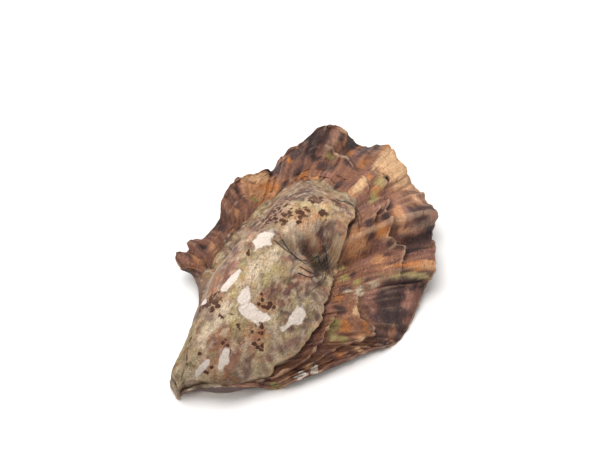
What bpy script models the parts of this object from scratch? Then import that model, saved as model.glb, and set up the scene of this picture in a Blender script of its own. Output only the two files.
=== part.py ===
"""One valve of a Pacific oyster, lying hollow side down on its beak and the low points of its edge.

The shell grew outward from a point near the beak, so it is modelled the same way: spokes run from that
apex to the ruffled edge, and each layer of growth is a ring across the spokes. The first layer is the
thick humped body. Thinner layers come out from under it, each with a lip that stands off the next one.
All the sizes below are in millimetres, x from the beak along the shell, y across it and z up.
"""
import bmesh
import bpy
import numpy as np

MM = 0.001

# The beak's tip, measured from the middle of the shell's box
BEAK = (-58.2, 5.63)
# Where growth began, measured from the beak's tip as all the points below are
APEX = (5.0, 0.0)

# The edge's underside, anticlockwise from the beak's tip
EDGE_LINE = [
    # beak and the arch of the near edge
    (0, 0, -0.6), (1.5, -0.8, 1.6), (4.4, -5.5, 4.2), (6.3, -9.9, 5.2), (8.8, -13.1, 4.6), (12.2, -15.8, 3.2),
    (14.8, -17.8, 1.5), (17.9, -21.3, -0.4), (21.1, -24.8, 1.8), (28.9, -29.7, 1.8), (36.1, -33.5, 1.5),
    (41, -35.8, 1.3), (46.1, -39.1, 0.6), (50.6, -41.1, -0.8),
    # near corner and the first folded lobe
    (57.8, -41.2, -0.2), (65.5, -39.8, 0.8), (71.1, -38.6, 2.0), (72.5, -38.6, 3.4), (74.8, -39.5, 5.6),
    (77.2, -38.6, 7.0), (82.9, -35.1, 6.2), (90.2, -29.9, 3.2),
    # pointed lobe, then the far end
    (93.5, -29.9, 7.0), (95.6, -29.1, 8.0), (97.2, -24.8, 7.2), (103.4, -19.4, 5.0), (107.6, -12.9, 3.0),
    (110.2, -9.9, 5.0), (110.3, -6.4, 7.0), (113.4, -2.2, 8.0), (113, 1.8, 6.0), (116.4, 9.8, -0.8),
    (112.5, 11.7, 5.0), (109.4, 13.2, 10.0), (107.2, 15.9, 12.5), (104.5, 18.6, 12.0), (98.6, 21.2, 9.0),
    (96.1, 24, 7.0), (93.6, 26.5, 3.8), (92.4, 28.2, -0.8),
    # far side, back to the two small lobes and the steep wall behind the beak
    (86, 27.9, 4.0), (78.1, 28.1, 8.0), (72.2, 30, 9.0), (66.2, 29.7, 7.0), (61.3, 27.6, 5.0),
    (56.2, 27.4, 3.0), (53.1, 28, 1.5), (47.6, 29.4, 5.0), (42.6, 26.4, 6.0), (39.2, 28.8, 7.0),
    (37.2, 26.4, 5.0), (38.5, 22.3, 3.5), (36.2, 18.2, 2.0), (30.5, 13.8, 0.8), (21.4, 9.6, 0.5),
    (17.5, 7.2, 0.5), (11.6, 5.9, 0.8), (6, 4.7, 0.6), (2.9, 4.3, 0.2), (1.2, 1.7, -0.3),
]
SPOKES = len(EDGE_LINE)

# Where each spoke heads as it leaves the apex: (spoke, x, y). It turns to its own point of the edge near its end
SPOKE_AIMS = [
    (0, 0, 0), (1, 1.5, -0.8), (2, 4.4, -5.5), (4, 8.8, -13.1), (6, 14.8, -17.8), (8, 22, -25.5), (10, 35.5, -34.2),
    (13, 53, -41), (16, 70, -39.6), (19, 80, -36.4), (22, 92.5, -29), (25, 102, -19), (28, 110, -7),
    (31, 112.5, 6), (34, 107, 15), (37, 97, 20), (40, 86, 22), (43, 72, 21), (46, 61, 19.4), (48, 53.5, 17.5),
    (49, 54.8, 18.3), (50, 50.9, 17.5), (51, 43.9, 15.6), (52, 34.8, 12.6), (53, 31.3, 11.4), (54, 21.4, 7.9),
    (55, 17.5, 6.6), (56, 11.6, 4.8), (57, 6, 4.6), (58, 2.9, 4.2), (59, 1.2, 1.7),
]
SPOKE_TURN = 6

# The body's crest: x, y, height, half width on the far side, half width on the near side
CREST = [
    (-4, 0, -2, 5, 6), (0, 0, 4, 5, 6), (3, 0, 8.5, 6, 8), (8, -1, 13, 8.5, 12), (15, -2, 16.5, 12, 19),
    (25, -2, 20.5, 14.5, 29), (35, -2, 24, 18, 33), (45, -3, 26.5, 19.5, 28), (55, -4, 27.5, 20, 24),
    (65, -4, 25.5, 21, 25), (75, -2, 18.5, 23, 27), (85, 2, 9, 25, 30), (95, 6, 0, 26, 30),
    (120, 8, -8, 28, 30),
]
FAR_SIDE_FULLNESS = 2.4
NEAR_SIDE_FULLNESS = 2.0

# The notch in the body's near side: x, y, half length, half width, its direction in degrees, depth
NOTCH = (52, -14.5, 9, 5, -50, 10)

# Where the body's lip ends, as a share of the spoke, and the height of the layer under it
BODY_LIP = [
    (0, .85, 3), (2, .9, 4.2), (4, .9, 4), (6, .9, 4), (7.3, .85, 3.8), (8.8, .68, 5), (9.6, .7, 5.5),
    (10.5, .655, 5.8), (11.5, .62, 6.1), (13, .58, 6.5), (14.6, .57, 7), (16, .55, 8.5), (18, .55, 11), (20, .56, 12.5), (22, .595, 12.5),
    (23, .63, 12.7), (24, .65, 13), (25, .66, 13.5), (27, .68, 13), (30, .69, 11), (34, .73, 9), (37, .75, 8),
    (41, .76, 7.5), (45, .80, 7), (49, .78, 7.5), (52, .88, 9), (54, .9, 9), (57, .9, 6.5), (59, .85, 3.5),
]
# The two lamellae on the flange: spoke, share of the way from the body's lip to the edge, height of the lip
INNER_LAMELLA = [
    (0, .5, 0), (5, .5, 0), (6, .5, 1.5), (8.2, .45, 2), (8.8, .55, 2), (9.5, .4, 1.5), (10.5, .45, .8),
    (11.5, .5, 1.5), (12.4, .75, 3), (13.1, .7, 3), (13.4, .62, 2.6), (14, .45, 2.2), (14.5, .38, 2),
    (16, .32, 1.2), (18, .3, .6), (25, .3, .8), (30, .33, .6), (37, .3, .4), (45, .3, .4), (55, .4, 0),
]
OUTER_LAMELLA = [
    (0, .75, 0), (10, .78, 0), (12.4, .9, .2), (14, .8, .5), (17, .72, .8), (19.6, .63, 1.6), (20.5, .7, 2.6),
    (21.5, .6, 2.6), (22.9, .56, 2.6), (24, .54, 2.4), (25.1, .55, 2.4), (25.9, .5, 1.8), (27.5, .47, 1.6),
    (29, .45, 2.2), (30.2, .55, 1.6), (33.6, .7, 1.2), (37, .6, .8), (41, .55, .9), (45, .6, .6), (55, .6, 0),
]
LIP_THICKNESS = 1.5
# Shares of the spoke: how far a lip stands over the layer below it, the spacing of the rings round its nose,
# and where the next layer's rings begin beyond it
LIP_UNDERCUT = 0.045
NOSE_SPACING = 0.006
NEXT_LAYER = 0.02

# How the flange runs from the body's lip out to the edge, and how far it falls away inside the body
SLOPE_CURVE = 1.1
RUFFLE_CURVE = 2.6
FALL_INSIDE = 14

# Wall and hollow
EDGE_THICKNESS = 1.3
WALL = 2.8
LEAST_WALL = 1.9
HOLLOW = (50, -4, 40, 25, 19)  # x, y, half length, half width, height
NOTCH_BELOW = 0.8  # share of the notch's depth that shows as a bulge in the hollow

# The flat spot under the near corner that the shell rests on: x, y, radius, width of its sloping rim
FOOT = (53.5, -38.4, 5.2, 3)

BODY_RINGS, LAYER_RINGS, UNDER_RINGS = 11, 3, 9
COLUMNS = 2 * SPOKES
FIRST_RING = 0.07


def smooth(t):
    t = np.clip(t, 0, 1)
    return t * t * (3 - 2 * t)


def round_the_spokes(table, column, spoke):
    """The value of a column of the table at each spoke, eased between the spokes that it names."""
    rows = np.array(table, float)
    at = np.concatenate([[rows[-1, 0] - SPOKES], rows[:, 0], [rows[0, 0] + SPOKES]])
    value = np.concatenate([rows[-1:, column], rows[:, column], rows[:1, column]])
    spoke = np.mod(spoke, SPOKES)
    i = np.clip(np.searchsorted(at, spoke, side="right") - 1, 0, len(at) - 2)
    t = (spoke - at[i]) / (at[i + 1] - at[i])
    return value[i] + (value[i + 1] - value[i]) * (t + smooth(t)) / 2


def through(table, column, x):
    """The value of a column of the table at x, on a smooth curve through its rows."""
    rows = np.array(table, float)
    at, value = rows[:, 0], rows[:, column]
    slope = np.gradient(value, at)
    x = np.clip(x, at[0], at[-1])
    i = np.clip(np.searchsorted(at, x, side="right") - 1, 0, len(at) - 2)
    gap = at[i + 1] - at[i]
    t = (x - at[i]) / gap
    rise = smooth(t)
    return (
        value[i] * (1 - rise) + value[i + 1] * rise
        + gap * (slope[i] * t * (1 - t) ** 2 - slope[i + 1] * t * t * (1 - t))
    )


def edge_point(spoke):
    """x, y and z of the edge's underside, on a smooth curve through EDGE_LINE."""
    line = np.array(EDGE_LINE, float)
    spoke = np.mod(spoke, SPOKES)
    i = np.floor(spoke).astype(int)
    t = (spoke - i)[:, None]
    a, b, c, d = (line[(i + k) % SPOKES] for k in (-1, 0, 1, 2))
    return b + t / 2 * (c - a + t * (2 * a - 5 * b + 4 * c - d + t * (3 * (b - c) + d - a)))


def mean_edge_height(spoke):
    """The edge's height with its lobes averaged out."""
    weights = np.array([.08, .14, .18, .2, .18, .14, .08])
    heights = np.array(EDGE_LINE)[:, 2]
    mean = sum(w * np.roll(heights, k - 3) for k, w in enumerate(weights))
    return np.interp(np.mod(spoke, SPOKES), np.arange(SPOKES + 1), np.append(mean, mean[0]))


def place(reach, spoke):
    """x and y on the spokes, at a share of the way from the apex to the edge."""
    edge = edge_point(spoke)
    aims = SPOKE_AIMS + [(SPOKES, *SPOKE_AIMS[0][1:])]
    at = []
    for axis in (0, 1):
        aim = through(aims, axis + 1, np.mod(spoke, SPOKES))
        at.append(APEX[axis] + reach * (aim - APEX[axis]) + reach ** SPOKE_TURN * (edge[:, axis] - aim))
    return at


def notch(x, y):
    """How deep the notch is at x and y."""
    cx, cy, length, width, turn, depth = NOTCH
    turn = np.radians(turn)
    along = ((x - cx) * np.cos(turn) + (y - cy) * np.sin(turn)) / length
    across = ((y - cy) * np.cos(turn) - (x - cx) * np.sin(turn)) / width
    return depth * np.exp(-along * along - across * across)


def body(x, y):
    """Height of the body's humped top."""
    offset = y - through(CREST, 1, x)
    height = through(CREST, 2, x)
    far = np.abs(offset / through(CREST, 3, x)) ** FAR_SIDE_FULLNESS
    near = np.abs(offset / through(CREST, 4, x)) ** NEAR_SIDE_FULLNESS
    return height - np.maximum(height, 4) * np.where(offset > 0, far, near) - notch(x, y)


def flange(reach, spoke):
    """Height of the layers' top beyond the body, ruffled towards the edge, and falling away inside it."""
    lip, under_lip = (round_the_spokes(BODY_LIP, k, spoke) for k in (1, 2))
    edge = edge_point(spoke)[:, 2] + EDGE_THICKNESS
    mean = mean_edge_height(spoke) + EDGE_THICKNESS
    out = np.clip((reach - lip) / (1 - lip), 0, 1)
    inside = np.clip(1 - reach / lip, 0, 1)
    slope = (mean - under_lip) * out ** SLOPE_CURVE + (edge - mean) * out ** RUFFLE_CURVE
    return under_lip + slope - FALL_INSIDE * inside ** 2


def higher_of(a, b, blend=1.2):
    """The higher of two surfaces, with the valley between them filled by a soft fillet."""
    top = np.maximum(a, b)
    return top + blend * np.log(np.exp((a - top) / blend) + np.exp((b - top) / blend))


def ring(reach, spoke, on_body):
    x, y = place(reach, spoke)
    z = flange(reach, spoke)
    if on_body:
        z = higher_of(body(x, y), z)
    return np.stack([x, y, z], axis=1)


def lip_rings(top, reach, spoke, step):
    """The nose, the underside and the root of a lip whose top ring stands step above the layer below."""
    hook = np.clip(step / LIP_THICKNESS - 1, 0, 1)
    rings = []
    for share, forward, back in ((.35, 1, 0), (1, 2, 2)):
        below = ring(reach + NOSE_SPACING * (forward - hook * back), spoke, False)
        below[:, 2] = np.maximum(below[:, 2], top[:, 2] - share * np.minimum(step, 2 * LIP_THICKNESS))
        rings.append(below)
    rings.append(ring(reach + 3 * NOSE_SPACING - hook * LIP_UNDERCUT, spoke, False))
    return rings


def top_rings(spoke):
    """Rings over the top of the shell, from near the apex to the edge."""
    lip = round_the_spokes(BODY_LIP, 1, spoke)
    rings = [ring(lip * t, spoke, True) for t in np.linspace(FIRST_RING, 1, BODY_RINGS)]
    step = np.maximum(rings[-1][:, 2] - flange(lip, spoke), 0)
    rings += lip_rings(rings[-1], lip, spoke, step)
    start = lip + NEXT_LAYER
    for lamella in (INNER_LAMELLA, OUTER_LAMELLA):
        end = lip + (1 - lip) * round_the_spokes(lamella, 1, spoke)
        height = round_the_spokes(lamella, 2, spoke)
        for t in np.linspace(0, 1, LAYER_RINGS + 1):
            rings.append(ring(start + (end - start) * t, spoke, False))
            rings[-1][:, 2] += height * t ** 2
        rings += lip_rings(rings[-1], end, spoke, height)
        start = end + NEXT_LAYER
    rings += [ring(start + (1 - start) * t, spoke, False) for t in np.linspace(0, 1, LAYER_RINGS + 1)]
    return rings


def under_rings(spoke):
    """Rings under the shell, from the edge back to near the apex, with the hollow between them."""
    cx, cy, length, width, height = HOLLOW
    lip = round_the_spokes(BODY_LIP, 1, spoke)
    rings = []
    for reach in np.linspace(1, FIRST_RING, UNDER_RINGS):
        x, y = place(np.full_like(spoke, reach), spoke)
        top = ring(np.full_like(spoke, reach), spoke, True)
        out = np.clip((reach - lip) / (1 - lip), 0, 1)
        wall = EDGE_THICKNESS + (WALL - EDGE_THICKNESS) * (1 - out)
        hollow = height * (1 - ((x - cx) / length) ** 2 - ((y - cy) / width) ** 2) - NOTCH_BELOW * notch(x, y)
        z = higher_of(hollow, flange(reach, spoke) - wall, 2)
        z = np.maximum(z, edge_point(spoke)[:, 2] * reach ** 2)
        z = np.minimum(z, top[:, 2] - np.where(reach < 1, LEAST_WALL, EDGE_THICKNESS))
        from_foot = np.hypot(x - FOOT[0], y - FOOT[1]) - FOOT[2]
        rings.append(np.stack([x, y, z * smooth(from_foot / FOOT[3])], axis=1))
    return rings


def skin(mesh, inner, outer):
    count = len(inner)
    for i in range(count):
        j = (i + 1) % count
        mesh.faces.new((inner[i], outer[i], outer[j], inner[j]))


def cap(mesh, loop, height, turned):
    middle = mesh.verts.new((APEX[0], APEX[1], height))
    for i in range(len(loop)):
        pair = (loop[i], loop[(i + 1) % len(loop)])
        mesh.faces.new((middle, *(reversed(pair) if turned else pair)))


def make_valve(material):
    spoke = np.arange(COLUMNS) * SPOKES / COLUMNS
    rings = top_rings(spoke) + under_rings(spoke)
    mesh = bmesh.new()
    loops = []
    for points in rings:
        points[:, 2] = np.maximum(points[:, 2], 0)
        loops.append([mesh.verts.new(point) for point in points])
    for inner, outer in zip(loops, loops[1:]):
        skin(mesh, inner, outer)
    cap(mesh, loops[0], body(*APEX), False)
    cap(mesh, loops[-1], rings[-1][:, 2].mean(), True)
    bmesh.ops.translate(mesh, vec=(BEAK[0], BEAK[1], 0), verts=mesh.verts)
    bmesh.ops.scale(mesh, vec=(MM, MM, MM), verts=mesh.verts)
    bmesh.ops.triangulate(mesh, faces=mesh.faces)
    data = bpy.data.meshes.new("valve")
    mesh.to_mesh(data)
    mesh.free()
    data.materials.append(material)
    data.shade_smooth()
    data.set_sharp_from_angle(angle=np.radians(50))
    valve = bpy.data.objects.new("valve", data)
    bpy.context.collection.objects.link(valve)
    return valve


def shell_material():
    material = bpy.data.materials.new("weathered oyster shell")
    material.use_nodes = True
    shader = material.node_tree.nodes["Principled BSDF"]
    shader.inputs["Base Color"].default_value = (0.33, 0.26, 0.17, 1)
    shader.inputs["Roughness"].default_value = 0.75
    shader.inputs["Metallic"].default_value = 0
    return material


def main():
    for leftover in list(bpy.data.objects):
        bpy.data.objects.remove(leftover)
    make_valve(shell_material())


if __name__ == "__main__":
    main()
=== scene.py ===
"""Looks of one weathered oyster valve that lies hollow side down.

The valve is one grid of rings and columns. Its rings follow the growth of the shell, from the apex near
the beak over the humped body and the thin layers that come out from under it, round the edge, and back
under the shell. The columns are the spokes of the same growth. Sizes below are millimetres from the beak's
tip, x along the shell, y across, z up.
"""
import math

import bpy
import numpy as np
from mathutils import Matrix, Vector


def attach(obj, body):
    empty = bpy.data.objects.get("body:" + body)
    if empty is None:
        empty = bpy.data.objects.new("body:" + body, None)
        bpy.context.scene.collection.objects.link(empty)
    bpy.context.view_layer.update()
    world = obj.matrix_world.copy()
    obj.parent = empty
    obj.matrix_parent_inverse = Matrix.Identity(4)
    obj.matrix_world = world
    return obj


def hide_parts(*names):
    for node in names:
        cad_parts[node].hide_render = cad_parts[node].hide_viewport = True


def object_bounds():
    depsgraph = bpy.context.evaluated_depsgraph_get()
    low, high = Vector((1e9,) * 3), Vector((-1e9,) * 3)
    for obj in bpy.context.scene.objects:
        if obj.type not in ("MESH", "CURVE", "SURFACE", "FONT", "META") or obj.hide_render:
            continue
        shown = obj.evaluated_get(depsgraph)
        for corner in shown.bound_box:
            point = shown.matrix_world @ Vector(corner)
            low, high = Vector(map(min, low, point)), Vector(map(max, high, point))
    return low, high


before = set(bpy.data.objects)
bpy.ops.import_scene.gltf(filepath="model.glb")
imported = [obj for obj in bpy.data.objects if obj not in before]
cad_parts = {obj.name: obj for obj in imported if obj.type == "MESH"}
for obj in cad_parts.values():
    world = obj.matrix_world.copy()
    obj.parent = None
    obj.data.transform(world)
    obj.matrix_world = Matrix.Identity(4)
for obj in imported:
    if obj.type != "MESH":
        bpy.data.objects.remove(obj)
CAD_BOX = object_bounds()

MM = 0.001

# The beak's tip, measured from the middle of the shell's box
BEAK = (-58.2, 5.63)
# Where growth began
APEX = (5.0, 0.0)

# The edge's underside, anticlockwise from the beak's tip
EDGE_LINE = [
    # beak and the arch of the near edge
    (0, 0, -.6), (1.5, -.8, 1.6), (4.4, -5.5, 4.2), (6.3, -9.9, 5.2), (8.8, -13.1, 4.6), (12.2, -15.8, 3.2),
    (14.8, -17.8, 1.5), (17.9, -21.3, -.4), (21.1, -24.8, 1.8), (28.9, -29.7, 1.8), (36.1, -33.5, 1.5),
    (41, -35.8, 1.3), (46.1, -39.1, .6), (50.6, -41.1, -.8),
    # near corner and the first folded lobe
    (57.8, -41.2, -.2), (65.5, -39.8, .8), (71.1, -38.6, 2), (72.5, -38.6, 3.4), (74.8, -39.5, 5.6),
    (77.2, -38.6, 7), (82.9, -35.1, 6.2), (90.2, -29.9, 3.2),
    # pointed lobe, then the far end
    (93.5, -29.9, 7), (95.6, -29.1, 8), (97.2, -24.8, 7.2), (103.4, -19.4, 5), (107.6, -12.9, 3),
    (110.2, -9.9, 5), (110.3, -6.4, 7), (113.4, -2.2, 8), (113, 1.8, 6), (116.4, 9.8, -.8), (112.5, 11.7, 5),
    (109.4, 13.2, 10), (107.2, 15.9, 12.5), (104.5, 18.6, 12), (98.6, 21.2, 9), (96.1, 24, 7),
    (93.6, 26.5, 3.8), (92.4, 28.2, -.8),
    # far side, back to the two small lobes and the steep wall behind the beak
    (86, 27.9, 4), (78.1, 28.1, 8), (72.2, 30, 9), (66.2, 29.7, 7), (61.3, 27.6, 5), (56.2, 27.4, 3),
    (53.1, 28, 1.5), (47.6, 29.4, 5), (42.6, 26.4, 6), (39.2, 28.8, 7), (37.2, 26.4, 5), (38.5, 22.3, 3.5),
    (36.2, 18.2, 2), (30.5, 13.8, .8), (21.4, 9.6, .5), (17.5, 7.2, .5), (11.6, 5.9, .8), (6, 4.7, .6),
    (2.9, 4.3, .2), (1.2, 1.7, -.3),
]
SPOKES = len(EDGE_LINE)
# How much the spokes on either side count where the lobes are averaged out
LOBE_WEIGHTS = {-3: .08, -2: .14, -1: .18, 0: .2, 1: .18, 2: .14, 3: .08}

# Where each spoke heads as it leaves the apex: spoke, x, y. Near its end it turns to its own edge point
SPOKE_AIMS = [
    (0, 0, 0), (1, 1.5, -.8), (2, 4.4, -5.5), (4, 8.8, -13.1), (6, 14.8, -17.8), (8, 22, -25.5),
    (10, 35.5, -34.2), (13, 53, -41), (16, 70, -39.6), (19, 80, -36.4), (22, 92.5, -29), (25, 102, -19),
    (28, 110, -7), (31, 112.5, 6), (34, 107, 15), (37, 97, 20), (40, 86, 22), (43, 72, 21), (46, 61, 19.4),
    (48, 53.5, 17.5), (49, 54.8, 18.3), (50, 50.9, 17.5), (51, 43.9, 15.6), (52, 34.8, 12.6),
    (53, 31.3, 11.4), (54, 21.4, 7.9), (55, 17.5, 6.6), (56, 11.6, 4.8), (57, 6, 4.6), (58, 2.9, 4.2),
    (59, 1.2, 1.7),
]
SPOKE_TURN = 6

# The body's crest: x, y, height, half width on the far side, half width on the near side
CREST = [
    (-4, 0, -2, 5, 6), (0, 0, 4, 5, 6), (3, 0, 8.5, 6, 8), (8, -1, 13, 8.5, 12), (15, -2, 16.5, 12, 19),
    (25, -2, 20.5, 14.5, 29), (35, -2, 24, 18, 33), (45, -3, 26.5, 19.5, 28), (55, -4, 27.5, 20, 24),
    (65, -4, 25.5, 21, 25), (75, -2, 18.5, 23, 27), (85, 2, 9, 25, 30), (95, 6, 0, 26, 30),
    (120, 8, -8, 28, 30),
]
FAR_SIDE_FULLNESS = 2.4
NEAR_SIDE_FULLNESS = 2.0

# The notch in the body's near side: x, y, its direction in degrees and its depth
NOTCH = (54.5, -16.5, -50, 10.5)
NOTCH_ROUNDING = 0.15
# How far it reaches into the body and out of it, up the steep face of the bulge and up the gentle face
NOTCH_IN, NOTCH_OUT, NOTCH_STEEP, NOTCH_GENTLE = 11, 6, 3, 6
NOTCH_FLOOR = 1.4  # how flat its floor is
NOTCH_SWAY, NOTCH_WAVES = 0.8, 0.9  # how far its line sways, and how often

# Where the body's lip ends, as a share of the spoke, and the height of the layer under it
BODY_LIP = [
    (0, .85, 3), (2, .9, 4.2), (4, .9, 4), (6, .9, 4), (7.3, .85, 4.2), (8.8, .68, 6.6), (9.6, .7, 7.8),
    (10.5, .655, 8.8), (11.5, .62, 9.8), (13, .58, 11), (14.6, .57, 12.2), (16, .55, 13.3), (18, .55, 13.5),
    (20, .56, 12.6), (21.8, .575, 13), (23, .61, 18.6), (24, .645, 18.6), (25, .69, 16.4), (27, .73, 13),
    (30, .74, 11), (34, .77, 9), (36, .78, 8.4), (37, .76, 8), (41, .76, 7.5), (45, .80, 7), (49, .78, 7.5),
    (52, .88, 9), (54, .9, 9), (57, .9, 6.5), (59, .85, 3.5),
]
# The lamellae on the flange: spoke, share of the way from the body's lip to the edge, height of the lip
INNER_LAMELLA = [
    (0, .4, 0), (5, .4, 0), (6.2, .33, 1.2), (8.2, .34, 1.6), (8.7, .48, 1.6), (9.1, .4, 1.5),
    (9.8, .26, 1.3), (11.5, .19, 1.1), (13.6, .13, .8), (14.9, .12, .2), (16, .1, 0), (30, .1, 0),
    (45, .15, .3), (55, .4, 0),
]
MIDDLE_LAMELLA = [
    (0, .5, 0), (8, .6, .3), (10.2, .53, .8), (11.2, .55, 1.4), (12.3, .7, 2.6), (12.8, .72, 2.8),
    (13.3, .64, 2.4), (13.7, .49, 2), (14, .4, 1.8), (15.2, .32, 1.2), (16.7, .31, .3), (18, .3, 0),
    (22, .28, 0), (23.6, .33, .2), (24, .33, 1), (24.8, .36, 1), (25.2, .33, 0), (27, .2, .1), (27.4, .3, 1),
    (28.2, .36, 1.7), (28.9, .34, 1), (29.3, .28, .1), (31, .21, 0), (37, .26, 0), (45, .3, .3), (55, .5, 0),
]
OUTER_LAMELLA = [
    (0, .65, 0), (5, .65, 0), (7.2, .72, .7), (10.2, .78, .6), (12.2, .9, .3), (14, .8, .1), (16.6, .71, .1),
    (18.8, .64, .5), (19.7, .66, .9), (20.6, .7, 1.8), (20.9, .62, 2.2), (22.2, .5, 2.4), (23.4, .51, 1.6),
    (23.8, .47, .6), (24.4, .46, 1.5), (25.1, .48, 1.5), (25.6, .44, .2), (26.4, .5, .1), (26.7, .56, 1),
    (27.4, .58, 1.3), (28.1, .56, .8), (28.5, .48, .1), (29.2, .4, 0), (30, .45, .7), (30.6, .48, 1.2),
    (32, .52, 1.2), (33.1, .6, .8), (34, .66, .1), (37, .56, 0), (41, .58, .4), (45, .6, .3), (55, .6, 0),
]
# A thin fringe near the edge
FRINGE = [
    (0, .85, 0), (5, .85, 0), (8, .88, .5), (12, .94, .2), (16, .88, 0), (20, .86, 0), (24, .8, 0),
    (28, .75, .1), (32, .84, 0), (36, .85, .1), (40, .8, .3), (44, .82, .3), (48, .85, .3), (55, .85, 0),
]
# Folds and dents of the flange: spoke, share, half widths towards lower and higher spokes, half length,
# height
FOLDS = [
    (16, .7, 1.2, 1.4, .28, .9), (17.55, .8, .7, .16, .34, -1.5), (18.7, .78, .5, .7, .34, 1.1),
    (20.3, .86, .5, .7, .22, -1.1), (21.9, .85, .6, .6, .2, .7), (23.8, .8, 1.1, 1.3, .24, 1.2),
    (25.8, .72, .5, .4, .3, -.9), (27.9, .8, .9, .8, .2, .5), (28.1, .2, .5, .6, .22, 1),
    (27.2, .62, .28, .25, .035, -2), (29.5, .55, .5, .5, .4, -.9), (31.1, .8, .3, .3, .3, .5),
    (32.1, .8, .3, .3, .3, -.5), (33, .8, .3, .3, .3, .5), (34.2, .75, .3, .4, .35, -.6),
    (35.4, .75, .5, .5, .3, .6), (36.8, .7, .4, .4, .3, -.6), (38, .5, .5, .5, .4, -.5),
    (39.4, .5, .5, .5, .4, .7), (41, .6, .4, .4, .4, -.5), (43, .6, .6, .6, .4, .6),
    (46.8, .66, .4, .4, .16, -1), (12, .8, .5, .35, .14, -.8), (10, .6, .5, .5, .3, .4),
]
FOLD_FADE = 8  # how late the folds fade on their way to the edge
LIP_THICKNESS = 1.3
# Shares of the spoke: how far a lip stands over the layer below it, the spacing of the rings round its nose,
# and where the next layer begins
LIP_UNDERCUT = 0.045
NOSE_SPACING = 0.004
NEXT_LAYER = 0.014
# The rings round a lip's nose: share of its thickness, steps forward, and steps back where it overhangs
NOSE_RINGS = [(.2, 1, 0), (.6, 1.4, .4), (1, 1, 2.5)]
# How soft the valleys are where the body meets the layers, and where the hollow meets the wall, in mm
VALLEY_BLEND, ROOF_BLEND = 1.2, 2

# How the flange runs from the body's lip out to the edge, and how far it falls away inside the body
SLOPE_CURVE = 1.1
RUFFLE_CURVE = 2.1
FALL_INSIDE = 14

# Dried weed: the points over which each thread lies, x and y
THREADS = [
    [(45, -3), (44.6, -6.2), (45.4, -9.6), (45.6, -12.4), (49, -13.2), (52.4, -13.5), (55.3, -14.4)],
    [(46.4, -4.6), (45.4, -8), (45.5, -11.2), (49.1, -12.7), (53.2, -13.7)],
    [(43.2, -12.6), (44, -14.6), (45.6, -15.6), (50, -15.2), (53.7, -14.1)],
    [(54.8, -12.8), (54.3, -14.4), (49.7, -17.2), (44.2, -18.6), (40.2, -18.4)],
    [(41, -13.3), (42.3, -15.8), (45.5, -16.2), (48.5, -15.3), (53.7, -14.6)],
    [(48.9, -12.4), (52.5, -13.2), (55.2, -13.9), (57.4, -13.2)],
    [(54.9, -13.7), (53.2, -15.4), (50.5, -17.4), (47.3, -18.3)],
    [(51.8, -13.2), (50.5, -15.4), (47.6, -17.4), (43.8, -18.2)],
    [(75, -5), (77.3, -8.2), (76.8, -9.9), (74.6, -12.5), (71, -15.2), (67.8, -17.4)],
    [(78.5, -5.5), (78.4, -9), (76, -12.4), (73.6, -14.6), (71.2, -16)],
]
THREAD_RADIUS = 0.13
THREAD_STEP = 0.8  # between the points at which a thread touches or bridges the shell
THREAD_SAG = 5  # steps either way over which a thread stays straight instead of following the shell down

# Blotches all over the body: colour, size, how much they cover, their noise's seed
BODY_MOTTLES = [
    ("slate", 2.1, .4, 101), ("rose", 2.7, .25, 102), ("bone", 1.7, .4, 103), ("pale_green", 3.1, .3, 104),
    ("orange", 1.4, .3, 105), ("plum", 1.1, .4, 106), ("bone", 1, .4, 107),
]
NOISE_PERIOD = 64  # the noise repeats after so many blotches
CAVITY_REACH = (-3, -2, -1, 0, 1, 2, 3)  # rings and columns that a point's height is set against

# How much of the ground a patch or streak covers, and the width of its soft outline as a share of it
PATCH_COVER, PATCH_SOFTNESS = 0.97, 0.7
STREAK_COVER, STREAK_SOFTNESS = 0.7, 0.9
# Random streaks on the layers: how many go round the shell and along a spoke, and their noise's seed
STREAK_NOISES = [(2, 2.2, 93), (5, 4, 94), (9, 8, 90), (20, 11, 91)]
# How strong the random streaks of each of these noises are
STREAK_STRENGTHS = (0.55, 0.4, 0.3, 0.2)

# Ragged outlines: how far they wander as a share of a spoke, their teeth round the shell, their seed
BODY_TEETH = [(0.006, 150, 1), (0.008, 57, 2)]
LAMELLA_TEETH = [(0.012, 170, 10), (0.016, 61, 20)]
# How much the height of a lip varies round the shell, its teeth, their seed
LIP_VARIETY = (0.4, 70, 30)

# Wear: strength, size and seed of each noise
LUMPS = [(0.42, 6, 40), (0.26, 2.6, 41), (0.11, 1.2, 42)]
LEDGE_SPACING, LEDGE_DRIFT, LEDGE_PATCHES = 3.1, [(1.6, 9, 43), (0.5, 3, 44)], [(1.4, 8, 46)]
FINE_LEDGE_SPACING, FINE_LEDGE_DRIFT = 1.1, [(0.8, 5, 45)]
RIBLETS = (5, 0.1, 47)  # changes for each spoke and for each millimetre of age, seed
# How far lumps, growth ledges, fine ledges and riblets push the body, the layers and the underside
PUSH = [(0.8, 0.16, 0.05, 0), (0.6, 0.22, 0.07, 0.35), (0.15, 0, 0, 0)]

# Inside: the muscle's scar and the hinge by the beak
INSIDE_PATCHES = [("scar", 60, -8, 9, 6, -20), ("hinge", 7, -1, 5, 3, 0)]
INSIDE_SOFTNESS = 0.5

# Wall and hollow
EDGE_THICKNESS = 1.3
EDGE_NICKS = 0.009  # share of a spoke that the deepest nicks take out of the edge
NICKS = [(230, 3), (83, 4)]  # teeth round the shell, their seed
SHALLOW_NICKS = (31, 5, 0.7)  # teeth, seed, strength
NICK_FADE = 20  # how soon the nicks fade inwards from the edge
EDGE_ROUNDING = 0.004
WALL = 2.8
LEAST_WALL = 1.9
HOLLOW = (50, -4, 40, 25, 19)  # x, y, half length, half width, height
ROOF_RISE = 70  # how steeply the hollow may rise inside the body's lip, for a whole spoke
NOTCH_BELOW = 0.8  # share of the notch's depth that shows as a bulge in the hollow
FOOT = (53.5, -38.4, 5.2, 3)  # flat spot: x, y, radius, width of its sloping rim

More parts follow.
